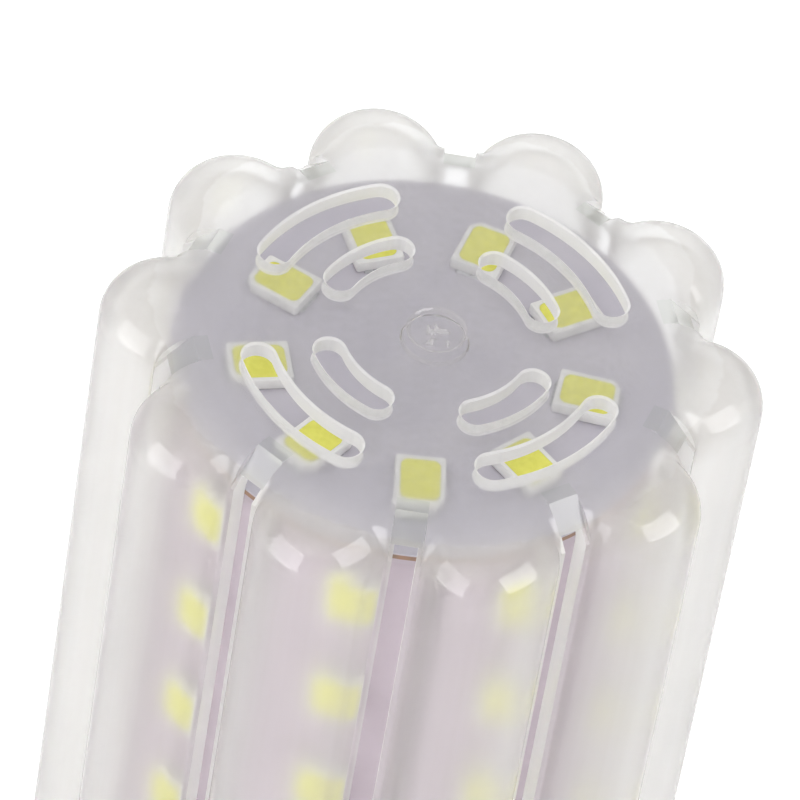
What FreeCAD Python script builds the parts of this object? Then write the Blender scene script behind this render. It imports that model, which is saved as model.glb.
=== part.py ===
import FreeCAD, Part
import math
import os

# Corn LED bulb: a clear lobed cover over a column of LED strips, on a screw cap.
# Sizes are in millimetres. The bulb's axis is +Z, and z = 0 is the flat tip of the centre contact.

# How far a cutting shape reaches past what it cuts
cut_margin = 1.0

# Heights along the axis
contact_tip_z = 0.0
shell_low_z = 4.0
neck_low_z = 7.0
thread_low_z = 7.2
thread_high_z = 19.3
collar_low_z = 22.0
shell_rim_z = 26.5
housing_rim_z = 48.5
cover_wall_low_z = 50.0
cover_top_z = 118.0

# Clear cover: ten round lobes round a flat top plate
lobe_count = 10
lobe_centre_radius = 14.48
lobe_radius = 3.8
valley_radius = 15.3
valley_corner_radius = 0.15
cover_wall = 1.0
cover_plate = 1.1
cover_edge_radius = 2.6
valley_chamfer_radius = 13.4
valley_chamfer_height = 2.1
cover_flange_radius = 19.4
spigot_radius = 18.15
spigot_bore_radius = 17.15
spigot_length = 3.5
snap_bead = 0.3
snap_bead_z = 46.6
snap_play = 0.1

# Openings in the cover
slit_width = 1.3
slit_low_z = 54.0
slit_high_z = 116.6
arc_slot_count = 4
arc_slot_first_angle = 45.0
arc_slot_span = 54.0
outer_slot_radii = (9.2, 11.0)
inner_slot_radii = (5.35, 7.03)
gate_mark_radius = 1.75
gate_mark_depth = 0.15

# Column of LED strips, which stands a little off the cover's axis
strip_count = 9
strip_first_angle = 21.0
strip_face_radius = 13.1
strip_width = 8.7
strip_thickness = 1.0
column_offset_x = -0.4
board_radius = 13.8
top_board_thickness = 0.8
top_board_gap = 3.05
lower_board_thickness = 1.0
lower_board_hole_radius = 5.0
leds_per_strip = 8
led_pitch = 7.92
first_led_depth = 7.5
solder_leg = 1.3
solder_width = 1.8
solder_side_share = 0.27
top_led_radius = 9.1
top_led_first_angle = 34.3

# LED package
led_length = 3.5
led_width = 2.8
led_height = 0.7
led_notch = 0.45
window_length = 2.9
window_width = 2.2
window_depth = 0.35
phosphor_drop = 0.04

# White plastic housing
housing_wall = 1.5
housing_band_radius = 19.4
housing_band_low_z = 41.0
housing_foot_radius = 14.4
housing_foot_high_z = 28.0
housing_seat_radius = 18.25
housing_seat_z = 44.8
deck_radius = 13.9
deck_bore_radius = 9.5
neck_radius = 11.85
neck_bore_radius = 10.2
belly_radius_share = 0.66
belly_height_share = 0.4
rail_inner_x = 9.1
rail_outer_x = 10.5
rail_width = 1.0
rail_play = 0.05

# Screw cap
thread_root_radius = 12.2
thread_crest_radius = 13.2
thread_pitch = 3.629
thread_base_width = 3.2
thread_crest_width = 1.1
shell_metal = 0.35
collar_radius = 13.05
collar_slope = 0.8
shell_mouth_radius = 10.4
shell_mouth_land = 0.9
shell_mouth_inner_land = 0.8
shell_mouth_metal = 0.4
shell_mouth_rise = 1.2
shell_mouth_inner_rise = 1.4
contact_radius = 4.8
contact_flat_radius = 4.2
contact_edge = 0.5
rivet_rise = 2.2
rivet_bore_radius = 0.75
rivet_cone = 0.4
insulator_low_z = 1.2
insulator_tip_radius = 5.6
insulator_bore_radius = 1.2
insulator_shoulder_width = 0.6
insulator_shoulder_height = 0.3
insulator_rise = 1.3

# Driver
driver_board_width = 19.6
driver_board_thickness = 1.2
driver_board_low_z = 9.0
driver_board_high_z = 47.0
wire_radius = 0.6
wire_end_x = 8.0
wire_end_y = 5.0

# Values worked out from those above
valley_half_angle = 180.0 / lobe_count
lobe_centre_across = lobe_centre_radius * math.cos(math.radians(valley_half_angle))
lobe_centre_along = lobe_centre_radius * math.sin(math.radians(valley_half_angle))
corner_reach = math.sqrt((lobe_radius + valley_corner_radius) ** 2
                         - (valley_radius + valley_corner_radius - lobe_centre_across) ** 2)
valley_half_flat = lobe_centre_along - corner_reach
top_board_top_z = cover_top_z - top_board_gap
strip_high_z = top_board_top_z - top_board_thickness
strip_margin = strip_high_z - (cover_top_z - first_led_depth)
strip_low_z = strip_high_z - 2.0 * strip_margin - (leds_per_strip - 1) * led_pitch
spigot_low_z = housing_rim_z - spigot_length
deck_z = strip_low_z - lower_board_thickness
board_face_y = driver_board_thickness / 2.0


def vec(x, y, z=0.0):
    return FreeCAD.Vector(x, y, z)


def polar(radius, angle, z=0.0):
    turn = math.radians(angle)
    return vec(radius * math.cos(turn), radius * math.sin(turn), z)


def arc(start, middle, end):
    return Part.Arc(start, middle, end).toShape()


def cylinder(radius, low, high, x=0.0, y=0.0):
    return Part.makeCylinder(radius, high - low, vec(x, y, low))


def box(low, high):
    return Part.makeBox(high[0] - low[0], high[1] - low[1], high[2] - low[2], vec(*low))


def turned(shape, angle, centre_x=0.0):
    copy = shape.copy()
    copy.rotate(vec(0, 0), vec(0, 0, 1), angle)
    copy.translate(vec(centre_x, 0))
    return copy


def revolve(profile):
    """Solid of revolution of a closed profile.

    Each step is (radius, z) for a straight line to that point, or (middle radius, middle z, radius, z)
    for an arc to it through a middle point.
    """
    start = vec(profile[0][0], 0, profile[0][1])
    here = start
    edges = []
    for step in list(profile[1:]) + [profile[0]]:
        there = vec(step[-2], 0, step[-1])
        if len(step) == 4:
            edges.append(arc(here, vec(step[0], 0, step[1]), there))
        else:
            edges.append(Part.makeLine(here, there))
        here = there
    return Part.Face(Part.Wire(edges)).revolve(vec(0, 0), vec(0, 0, 1), 360)


def group(shapes):
    return Part.makeCompound(shapes)


def save(name, shape):
    shape.exportStep("parts/" + name + ".step")


# Clear cover

def lobed_face(inset, z):
    """Plan outline of the cover, moved inwards by inset: lobe arcs, valley flats and corner arcs."""
    lobe = lobe_radius - inset
    valley = valley_radius - inset
    corner = valley_corner_radius + inset
    edges = []
    for index in range(lobe_count):
        lobe_angle = index * 2.0 * valley_half_angle
        centre = polar(lobe_centre_radius, lobe_angle, z)
        outward = polar(1.0, lobe_angle + valley_half_angle)
        along = polar(1.0, lobe_angle + valley_half_angle + 90.0)
        ends = {}
        for side in (-1.0, 1.0):
            corner_centre = outward * (valley + corner) + along * (side * valley_half_flat) + vec(0, 0, z)
            nearest_lobe_angle = lobe_angle + (1.0 + side) * valley_half_angle
            nearest_centre = polar(lobe_centre_radius, nearest_lobe_angle, z)
            to_lobe = (nearest_centre - corner_centre).normalize()
            to_flat = outward * -1.0
            on_lobe = corner_centre + to_lobe * corner
            on_flat = corner_centre + to_flat * corner
            between = corner_centre + (to_lobe + to_flat).normalize() * corner
            ends[side] = (on_lobe, between, on_flat)
        start = lobe_start(lobe_angle, ends[-1.0][0], centre)
        edges.append(arc(start, polar(lobe_centre_radius + lobe, lobe_angle, z), ends[-1.0][0]))
        edges.append(arc(*ends[-1.0]))
        edges.append(Part.makeLine(ends[-1.0][2], ends[1.0][2]))
        edges.append(arc(ends[1.0][2], ends[1.0][1], ends[1.0][0]))
    return Part.Face(Part.Wire(edges))


def lobe_start(lobe_angle, end, centre):
    """Mirror of a lobe arc's end point across the lobe's own radial line."""
    radial = polar(1.0, lobe_angle)
    along = polar(1.0, lobe_angle + 90.0)
    offset = end - centre
    return centre + radial * offset.dot(radial) - along * offset.dot(along)


def rounded_lobed_solid(inset, low, high, edge_radius):
    body = lobed_face(inset, low).extrude(vec(0, 0, high - low))
    rim = [edge for edge in body.Edges if abs(edge.BoundBox.ZMin - high) < 1e-6]
    return body.makeFillet(edge_radius, rim)


def valley_chamfer():
    """Wedge that bevels the plate's rounded edge over one valley flat, laid at angle 0."""
    run = valley_radius - valley_chamfer_radius
    slope = math.degrees(math.atan2(valley_chamfer_height, run))
    length = 2.0 * run
    wedge = box((-cut_margin / 2.0, -valley_half_flat, 0.0), (length, valley_half_flat, length))
    wedge.rotate(vec(0, 0), vec(0, 1, 0), slope)
    wedge.translate(vec(valley_chamfer_radius, 0, cover_top_z))
    return wedge


def arc_slot(radii, angle):
    """Slot along an arc, with round ends, through the top plate."""
    inner, outer = radii
    middle = (inner + outer) / 2.0
    end_radius = (outer - inner) / 2.0
    tip = math.degrees(end_radius / middle)
    half = arc_slot_span / 2.0 - tip
    first, last = angle - half, angle + half
    low = cover_top_z - cover_plate - cut_margin
    edges = [
        arc(polar(outer, first, low), polar(outer, angle, low), polar(outer, last, low)),
        arc(polar(outer, last, low), polar(middle, last + tip, low), polar(inner, last, low)),
        arc(polar(inner, last, low), polar(inner, angle, low), polar(inner, first, low)),
        arc(polar(inner, first, low), polar(middle, first - tip, low), polar(outer, first, low)),
    ]
    return Part.Face(Part.Wire(edges)).extrude(vec(0, 0, cover_plate + 2.0 * cut_margin))


def lens_cover():
    outside = rounded_lobed_solid(0.0, cover_wall_low_z, cover_top_z, cover_edge_radius)
    hollow_low, hollow_high = housing_rim_z - cut_margin, cover_top_z - cover_plate
    hollow = rounded_lobed_solid(cover_wall, hollow_low, hollow_high, cover_edge_radius - cover_wall)
    flange = cylinder(cover_flange_radius, housing_rim_z, cover_wall_low_z)
    spigot = revolve([
        (spigot_bore_radius, spigot_low_z),
        (spigot_radius - snap_bead, spigot_low_z),
        (spigot_radius, spigot_low_z + snap_bead),
        (spigot_radius, snap_bead_z - 2.0 * snap_bead),
        (spigot_radius + snap_bead, snap_bead_z),
        (spigot_radius, snap_bead_z + 2.0 * snap_bead),
        (spigot_radius, housing_rim_z),
        (spigot_bore_radius, housing_rim_z),
    ])
    cover = outside.fuse(flange).cut(hollow).fuse(spigot)
    slit = box((valley_radius - cover_edge_radius, -slit_width / 2.0, slit_low_z),
               (valley_radius + cut_margin, slit_width / 2.0, slit_high_z))
    cuts = [turned(shape, valley_half_angle * (2 * index + 1))
            for index in range(lobe_count) for shape in (slit, valley_chamfer())]
    for index in range(arc_slot_count):
        angle = arc_slot_first_angle + index * 360.0 / arc_slot_count
        cuts.append(arc_slot(outer_slot_radii, angle))
        cuts.append(arc_slot(inner_slot_radii, angle))
    cuts.append(cylinder(gate_mark_radius, cover_top_z - gate_mark_depth, cover_top_z + cut_margin))
    return cover.cut(cuts).removeSplitter()


# LED column

def led_solids():
    """One LED lying on z = 0 and facing +Z, long side along X: its white package and its phosphor."""
    half_long, half_wide = led_length / 2.0, led_width / 2.0
    outline = Part.makePolygon([
        vec(-half_long, -half_wide), vec(half_long, -half_wide),
        vec(half_long, half_wide - led_notch), vec(half_long - led_notch, half_wide),
        vec(-half_long, half_wide), vec(-half_long, -half_wide)])
    package = Part.Face(outline).extrude(vec(0, 0, led_height))
    window_low = (-window_length / 2.0, -window_width / 2.0, led_height - window_depth)
    recess = box(window_low, (window_length / 2.0, window_width / 2.0, led_height + cut_margin))
    phosphor = box(window_low, (window_length / 2.0, window_width / 2.0, led_height - phosphor_drop))
    return package.cut(recess), phosphor


def strip_placement(angle, z):
    """Place something that lies on z = 0 onto a strip's outer face, its X side upright."""
    upright = FreeCAD.Rotation(vec(0, 0, 1), vec(0, -1, 0), vec(1, 0, 0), "XYZ")
    turn = FreeCAD.Rotation(vec(0, 0, 1), angle)
    centre = polar(strip_face_radius, angle, z) + vec(column_offset_x, 0)
    return FreeCAD.Placement(centre, turn.multiply(upright))


def placed(shape, placement):
    copy = shape.copy()
    copy.Placement = placement
    return copy


def led_strip(angle):
    board = box((strip_face_radius - strip_thickness, -strip_width / 2.0, strip_low_z),
                (strip_face_radius, strip_width / 2.0, strip_high_z))
    return turned(board, angle, column_offset_x)


def strip_leds(angle, solid):
    heights = [cover_top_z - first_led_depth - row * led_pitch for row in range(leds_per_strip)]
    return group([placed(solid, strip_placement(angle, z)) for z in heights])


def top_leds(solid):
    copies = []
    for index in range(strip_count):
        angle = top_led_first_angle + index * 360.0 / strip_count
        centre = polar(top_led_radius, angle, top_board_top_z) + vec(column_offset_x, 0)
        copies.append(placed(solid, FreeCAD.Placement(centre, FreeCAD.Rotation(vec(0, 0, 1), angle))))
    return group(copies)


def top_board():
    return cylinder(board_radius, strip_high_z, top_board_top_z, column_offset_x)


def lower_board():
    low = strip_low_z - lower_board_thickness
    disc = cylinder(board_radius, low, strip_low_z, column_offset_x)
    hole = cylinder(lower_board_hole_radius, low - cut_margin, strip_low_z + cut_margin, column_offset_x)
    return disc.cut(hole)


def solder_joints(z, rise):
    """Two wedges of solder behind each strip, where it meets a board."""
    inner_face = strip_face_radius - strip_thickness
    wedges = []
    for side in (-1.0, 1.0):
        middle = side * strip_width * solder_side_share
        corner = vec(inner_face, middle - solder_width / 2.0, z)
        points = [corner, corner - vec(solder_leg, 0), corner + vec(0, 0, rise * solder_leg), corner]
        wedges.append(Part.Face(Part.makePolygon(points)).extrude(vec(0, solder_width, 0)))
    pair = group(wedges)
    angles = [strip_first_angle + index * 360.0 / strip_count for index in range(strip_count)]
    joints = []
    for angle in angles:
        joints.extend(turned(pair, angle, column_offset_x).Solids)
    return group(joints)


# Housing and screw cap

def belly_middle(inset):
    """Point half way along the arc of the housing's belly, between its foot and its band."""
    radius = housing_foot_radius + belly_radius_share * (housing_band_radius - housing_foot_radius) - inset
    height = housing_foot_high_z + belly_height_share * (housing_band_low_z - housing_foot_high_z)
    return radius, height


def base_housing():
    groove = snap_bead + snap_play
    floor_z = housing_seat_z - housing_wall
    inner_band = housing_band_radius - housing_wall
    inner_foot = housing_foot_radius - housing_wall
    inner_deck = deck_radius - housing_wall
    body = revolve([
        (neck_bore_radius, neck_low_z),
        (neck_radius, neck_low_z),
        (neck_radius, collar_low_z - collar_slope),
        (collar_radius - shell_metal, collar_low_z),
        (collar_radius - shell_metal, shell_rim_z),
        (housing_foot_radius, shell_rim_z),
        (housing_foot_radius, housing_foot_high_z),
        belly_middle(0.0) + (housing_band_radius, housing_band_low_z),
        (housing_band_radius, housing_rim_z),
        (housing_seat_radius, housing_rim_z),
        (housing_seat_radius, snap_bead_z + 2.0 * groove),
        (housing_seat_radius + groove, snap_bead_z),
        (housing_seat_radius, snap_bead_z - 2.0 * groove),
        (housing_seat_radius, housing_seat_z),
        (deck_radius, housing_seat_z),
        (deck_radius, deck_z),
        (deck_bore_radius, deck_z),
        (deck_bore_radius, deck_z - housing_wall),
        (inner_deck, deck_z - housing_wall),
        (inner_deck, floor_z),
        (inner_band, floor_z),
        (inner_band, housing_band_low_z),
        belly_middle(housing_wall) + (inner_foot, housing_foot_high_z),
        (neck_bore_radius, housing_foot_high_z - 1.0),
    ])
    return body.fuse(board_rails()).removeSplitter()


def board_rails():
    """Four upright rails in the neck, a pair on each side, that hold the driver board's long edges."""
    near = driver_board_thickness / 2.0 + rail_play
    rails = []
    for side in (-1.0, 1.0):
        for face in (-1.0, 1.0):
            across = sorted((side * rail_inner_x, side * rail_outer_x))
            along = sorted((face * near, face * (near + rail_width)))
            rails.append(box((across[0], along[0], neck_low_z), (across[1], along[1], shell_rim_z)))
    return rails


def thread_ridge():
    """Helical ridge of the screw cap: sloping flanks that start inside the sheet, and a flat crest."""
    height = thread_high_z - thread_low_z
    helix = Part.makeHelix(thread_pitch, height, thread_root_radius)
    helix.translate(vec(0, 0, thread_low_z))
    sunk_radius = thread_root_radius - 0.6 * shell_metal
    half_base, half_crest = thread_base_width / 2.0, thread_crest_width / 2.0
    tooth = Part.makePolygon([
        vec(sunk_radius, 0, thread_low_z - half_base),
        vec(thread_crest_radius, 0, thread_low_z - half_crest),
        vec(thread_crest_radius, 0, thread_low_z + half_crest),
        vec(sunk_radius, 0, thread_low_z + half_base),
        vec(sunk_radius, 0, thread_low_z - half_base),
    ])
    return Part.Wire(helix.Edges).makePipeShell([tooth], True, True)


def screw_shell():
    bore = thread_root_radius - shell_metal
    shell = revolve([
        (shell_mouth_radius, shell_low_z),
        (shell_mouth_radius + shell_mouth_land, shell_low_z),
        (thread_root_radius, shell_low_z + shell_mouth_rise),
        (thread_root_radius, collar_low_z - collar_slope),
        (collar_radius, collar_low_z),
        (collar_radius, shell_rim_z),
        (collar_radius - shell_metal, shell_rim_z),
        (collar_radius - shell_metal, collar_low_z),
        (bore, collar_low_z - collar_slope),
        (bore, shell_low_z + shell_mouth_inner_rise),
        (shell_mouth_radius + shell_mouth_inner_land, shell_low_z + shell_mouth_metal),
        (shell_mouth_radius, shell_low_z + shell_mouth_metal),
    ])
    return shell.fuse(thread_ridge())


def shell_insulator():
    ring_top = shell_low_z + insulator_rise
    return revolve([
        (insulator_bore_radius, insulator_low_z),
        (insulator_tip_radius, insulator_low_z),
        (shell_mouth_radius - insulator_shoulder_width, shell_low_z - insulator_shoulder_height),
        (shell_mouth_radius, shell_low_z),
        (shell_mouth_radius, shell_low_z + shell_mouth_metal),
        (shell_mouth_radius - shell_mouth_metal, ring_top),
        (insulator_bore_radius, ring_top),
    ])


def centre_contact():
    """Contact disc with a flat tip and a hollow rivet shank up through the insulator."""
    shank_top = shell_low_z + rivet_rise
    return revolve([
        (0.0, contact_tip_z),
        (contact_flat_radius, contact_tip_z),
        (contact_radius, contact_tip_z + contact_edge),
        (contact_radius, insulator_low_z),
        (insulator_bore_radius, insulator_low_z),
        (insulator_bore_radius, shank_top),
        (rivet_bore_radius, shank_top),
        (rivet_bore_radius, insulator_low_z),
        (0.0, insulator_low_z - rivet_cone),
    ])


# Driver

def driver_board():
    return box((-driver_board_width / 2.0, -board_face_y, driver_board_low_z),
               (driver_board_width / 2.0, board_face_y, driver_board_high_z))


def electrolytic_capacitor():
    """Can with a rolled groove near its foot and a rim round its top."""
    radius, height = 4.0, 14.0
    groove_z, groove_half, groove_depth = 2.0, 0.4, 0.45
    rim_bevel, rim_land, rim_inside, rim_drop = 0.4, 0.9, 1.1, 0.3
    across, foot = -3.0, 13.0
    can = revolve([
        (0.0, 0.0),
        (radius, 0.0),
        (radius, groove_z - groove_half),
        (radius - groove_depth, groove_z),
        (radius, groove_z + groove_half),
        (radius, height - rim_bevel),
        (radius - rim_bevel, height),
        (radius - rim_land, height),
        (radius - rim_inside, height - rim_drop),
        (0.0, height - rim_drop),
    ])
    can.translate(vec(across, board_face_y + radius, foot))
    return can


def film_capacitor():
    low_x, high_x = -8.0, 2.0
    low_z, high_z = 31.0, 40.0
    depth = 5.0
    edge_radius = 0.6
    body = box((low_x, board_face_y, low_z), (high_x, board_face_y + depth, high_z))
    upright = [edge for edge in body.Edges if edge.BoundBox.ZLength > (high_z - low_z) / 2.0]
    return body.makeFillet(edge_radius, upright)


def choke():
    """Drum choke: two flanges and the winding between them."""
    radius, height = 4.0, 9.0
    flange, flange_slope, winding_drop = 1.2, 0.3, 0.7
    across, foot = 3.5, 31.0
    drum = revolve([
        (0.0, 0.0),
        (radius, 0.0),
        (radius, flange),
        (radius - winding_drop, flange + flange_slope),
        (radius - winding_drop, height - flange - flange_slope),
        (radius, height - flange),
        (radius, height),
        (0.0, height),
    ])
    drum.translate(vec(across, -board_face_y - radius, foot))
    return drum


def chip(x, z, width, height, depth):
    """Moulded chip on the back of the driver board, with its lead rows."""
    face = -board_face_y
    standoff = 0.1
    lead_reach, lead_half_length = 0.3, 0.45
    lead_thickness, lead_half_width = 0.5, 0.2
    lead_steps = (-1.5, -0.5, 0.5, 1.5)
    lead_pitch = height / 4.4
    half_width, half_height = width / 2.0, height / 2.0
    body = box((x - half_width, face - depth, z - half_height),
               (x + half_width, face - standoff, z + half_height))
    leads = []
    for side in (-1.0, 1.0):
        for step in lead_steps:
            across = x + side * (half_width + lead_reach)
            along = z + step * lead_pitch
            leads.append(box((across - lead_half_length, face - lead_thickness, along - lead_half_width),
                             (across + lead_half_length, face, along + lead_half_width)))
    return body.fuse(leads).removeSplitter()


def fusible_resistor():
    """Axial resistor body with its two bead ends and leads."""
    radius, length = 1.4, 8.0
    end_radius, waist_radius = 0.8 * radius, 0.85 * radius
    bead_slope, bead_length, waist_start = 0.5, 1.5, 2.0
    lead_radius, lead_length = 0.3, 2.0
    across, foot = 4.6, 14.0
    body = revolve([
        (0.0, -lead_length),
        (lead_radius, -lead_length),
        (lead_radius, 0.0),
        (end_radius, 0.0),
        (radius, bead_slope),
        (radius, bead_length),
        (waist_radius, waist_start),
        (waist_radius, length - waist_start),
        (radius, length - bead_length),
        (radius, length - bead_slope),
        (end_radius, length),
        (lead_radius, length),
        (lead_radius, length + lead_length),
        (0.0, length + lead_length),
    ])
    body.translate(vec(across, board_face_y + radius, foot))
    return body


def wire(points):
    """Insulated wire along straight runs joined by tangent arcs."""
    knots = [vec(*point) for point in points]
    edges = []
    start = knots[0]
    for before, corner, after in zip(knots, knots[1:], knots[2:]):
        back = (before - corner).normalize()
        ahead = (after - corner).normalize()
        reach = 0.45 * min((before - corner).Length, (after - corner).Length)
        turn = math.pi - back.getAngle(ahead)
        radius = reach / math.tan(turn / 2.0)
        bisector = (back + ahead).normalize()
        middle = corner + bisector * (math.sqrt(radius ** 2 + reach ** 2) - radius)
        edges.append(Part.makeLine(start, corner + back * reach))
        edges.append(arc(corner + back * reach, middle, corner + ahead * reach))
        start = corner + ahead * reach
        print("wire bend radius", round(radius, 2))
    edges.append(Part.makeLine(start, knots[-1]))
    path = Part.Wire(edges)
    direction = (knots[1] - knots[0]).normalize()
    section = Part.Wire(Part.makeCircle(wire_radius, knots[0], direction))
    return path.makePipeShell([section], True, False)


def wires():
    """Corner points of each wire's path: two to the cap and two up to the lower board."""
    face = board_face_y + wire_radius
    deck = strip_low_z + wire_radius
    return {
        "live_wire": [(4.6, face + 0.8, 12.0), (4.6, face + 0.8, 8.6), (0.8, 0.5, 7.9), (0.0, 0.0, 6.2)],
        "neutral_wire": [(-5.0, face, 12.0), (-5.0, face + 0.3, 7.9), (-8.4, 1.4, 6.1), (-11.2, 1.2, 6.0)],
        "led_supply_wire": board_wire(1.0, face, deck),
        "led_return_wire": board_wire(-1.0, face, deck),
    }


def board_wire(side, face, deck):
    """Path from the driver board's top end, up past the lower board's hole and out over the board."""
    return [(side * 3.0, face, 44.0), (side * 3.1, face + 0.4, 49.0), (side * 3.6, face + 2.0, 53.4),
            (side * wire_end_x, wire_end_y, deck)]


def build():
    os.makedirs("parts", exist_ok=True)
    save("lens_cover", lens_cover())
    package, phosphor = led_solids()
    for index in range(strip_count):
        number = str(index + 1)
        angle = strip_first_angle + index * 360.0 / strip_count
        save("led_strip_" + number, led_strip(angle))
        save("strip_packages_" + number, strip_leds(angle, package))
        save("strip_phosphors_" + number, strip_leds(angle, phosphor))
    save("top_board", top_board())
    save("top_packages", top_leds(package))
    save("top_phosphors", top_leds(phosphor))
    save("lower_board", lower_board())
    save("upper_solder_joints", solder_joints(strip_high_z, -1.0))
    save("lower_solder_joints", solder_joints(strip_low_z, 1.0))
    save("base_housing", base_housing())
    save("screw_shell", screw_shell())
    save("shell_insulator", shell_insulator())
    save("centre_contact", centre_contact())
    save("driver_board", driver_board())
    save("electrolytic_capacitor", electrolytic_capacitor())
    save("film_capacitor", film_capacitor())
    save("choke", choke())
    save("bridge_rectifier", chip(-4.0, 36.0, 4.7, 4.0, 2.2))
    save("driver_chip", chip(0.0, 20.0, 3.9, 4.9, 1.6))
    save("fusible_resistor", fusible_resistor())
    for name, points in wires().items():
        save(name, wire(points))


build()
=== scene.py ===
import bmesh
import bpy
import math
import numpy as np
from mathutils import Matrix, Vector
from mathutils.geometry import delaunay_2d_cdt


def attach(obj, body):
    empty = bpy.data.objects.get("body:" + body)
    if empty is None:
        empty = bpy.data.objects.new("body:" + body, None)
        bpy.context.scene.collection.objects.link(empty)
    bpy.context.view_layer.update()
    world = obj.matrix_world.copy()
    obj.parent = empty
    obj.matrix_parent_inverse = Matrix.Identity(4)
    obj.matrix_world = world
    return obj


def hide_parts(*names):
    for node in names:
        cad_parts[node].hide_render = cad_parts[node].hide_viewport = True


# Corn LED bulb: clear lobed cover, LED column inside it, white housing, screw cap.
# Lengths below are in millimetres, as on a drawing; z = 0 is the flat tip of the centre contact.
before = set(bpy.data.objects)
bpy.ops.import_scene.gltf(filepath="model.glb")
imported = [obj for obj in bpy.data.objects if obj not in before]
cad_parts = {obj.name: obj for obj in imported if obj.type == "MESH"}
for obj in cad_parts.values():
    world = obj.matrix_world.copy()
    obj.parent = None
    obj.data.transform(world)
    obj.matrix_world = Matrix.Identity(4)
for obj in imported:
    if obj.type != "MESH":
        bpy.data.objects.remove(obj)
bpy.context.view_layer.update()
mm = 0.001
print("frame loaded,", len(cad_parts), "nodes")


# Mesh making

def gridFaces(rows, columns, closedRows=False):
    # quads between neighbouring rows of a grid whose columns run all the way round
    lower = np.arange(rows if closedRows else rows - 1)
    upper = (lower + 1) % rows
    here = np.arange(columns)
    ahead = (here + 1) % columns
    turns = ((lower, here), (lower, ahead), (upper, ahead), (upper, here))
    return np.stack([row[:, None] * columns + column for row, column in turns], -1).reshape(-1, 4)


def spread(flat, z):
    # plan points as complex numbers, with a height for each or for all, made into rows of x, y, z
    flat = np.asarray(flat)
    return np.stack([flat.real, flat.imag, np.broadcast_to(z, flat.shape)], -1).reshape(-1, 3)


def putMesh(name, points, faces, material, slot, smooth=35.0, replaced=(), milk=None):
    # one finished piece: doubles merged, faces turned outwards, smooth except over edges sharper than smooth;
    # milk holds a share of milk for each block of faces, kept on the faces for the cover's material
    mesh = bpy.data.meshes.new(name)
    faceRows = [face for block in faces for face in np.asarray(block).tolist()]
    mesh.from_pydata((np.asarray(points) * mm).tolist(), [], faceRows)
    if milk is not None:
        shares = mesh.attributes.new("milk", "FLOAT", "FACE")
        perFace = [np.broadcast_to(share, len(block)) for share, block in zip(milk, faces)]
        shares.data.foreach_set("value", np.concatenate(perFace))
    work = bmesh.new()
    work.from_mesh(mesh)
    bmesh.ops.remove_doubles(work, verts=work.verts, dist=0.0001 * mm)
    bmesh.ops.recalc_face_normals(work, faces=work.faces)
    work.to_mesh(mesh)
    work.free()
    mesh.polygons.foreach_set("use_smooth", np.ones(len(mesh.polygons), bool))
    mesh.set_sharp_from_angle(angle=math.radians(smooth))
    mesh.materials.append(material)
    piece = bpy.data.objects.new(name, mesh)
    bpy.context.scene.collection.objects.link(piece)
    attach(piece, "root")
    if replaced:
        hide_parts(*replaced)
    print("made", name, len(mesh.polygons), "faces")
    return piece


def lathe(profile, count=192):
    # closed profile of radius and height, carried round the axis
    profile = np.array(profile)
    turn = np.exp(2j * np.pi * np.arange(count) / count)
    points = spread(profile[:, :1] * turn, profile[:, 1:])
    return points, [gridFaces(len(profile), count, True)]


def roundedProfile(corners, radius, steps=4):
    # each corner of a closed profile becomes a short arc-like curve: a quadratic blend between its two sides
    corners = np.array(corners, float)
    before, after = np.roll(corners, 1, 0), np.roll(corners, -1, 0)
    back, ahead = before - corners, after - corners
    backLength = np.linalg.norm(back, axis=1, keepdims=True)
    aheadLength = np.linalg.norm(ahead, axis=1, keepdims=True)
    cut = np.minimum(radius, 0.4 * np.minimum(backLength, aheadLength))
    start, end = corners + back / backLength * cut, corners + ahead / aheadLength * cut
    t = np.linspace(0, 1, steps)[None, :, None]
    curve = (1 - t) ** 2 * start[:, None] + 2 * t * (1 - t) * corners[:, None] + t ** 2 * end[:, None]
    return curve.reshape(-1, 2)


# Material making

def paint(code):
    # a colour as it looks on a screen, made linear for the shader
    value = np.array([int(code[i:i + 2], 16) for i in (1, 3, 5)]) / 255.0
    linear = np.where(value <= 0.04045, value / 12.92, ((value + 0.055) / 1.055) ** 2.4)
    return (*linear.tolist(), 1.0)


def startMaterial(name, colour, settings):
    # a Principled shader; values that are the same all over are written on its own sockets
    material = bpy.data.materials.new(name)
    material.use_nodes = True
    tree = material.node_tree
    tree.nodes.clear()
    shader = tree.nodes.new("ShaderNodeBsdfPrincipled")
    output = tree.nodes.new("ShaderNodeOutputMaterial")
    tree.links.new(shader.outputs[0], output.inputs["Surface"])
    shader.inputs["Base Color"].default_value = paint(colour)
    for socket, value in settings.items():
        shader.inputs[socket].default_value = value
    return material, tree, shader


def objectPlace(tree, stretch=(1.0, 1.0, 1.0)):
    # a point's place on the object; a small stretch draws a pattern out along that axis, zero flattens it
    place = tree.nodes.new("ShaderNodeTexCoord").outputs["Object"]
    if stretch == (1.0, 1.0, 1.0):
        return place
    mapping = tree.nodes.new("ShaderNodeMapping")
    mapping.inputs["Scale"].default_value = stretch
    tree.links.new(place, mapping.inputs["Vector"])
    return mapping.outputs["Vector"]


def heightAbove(tree):
    split = tree.nodes.new("ShaderNodeSeparateXYZ")
    tree.links.new(objectPlace(tree), split.inputs["Vector"])
    return split.outputs["Z"]


def noise(tree, size, detail=2.0, stretch=(1.0, 1.0, 1.0)):
    # smooth random pattern whose patches are about size millimetres across
    node = tree.nodes.new("ShaderNodeTexNoise")
    node.inputs["Scale"].default_value = 1.0 / (size * mm)
    node.inputs["Detail"].default_value = detail
    tree.links.new(objectPlace(tree, stretch), node.inputs["Vector"])
    return node.outputs["Fac"]


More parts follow.
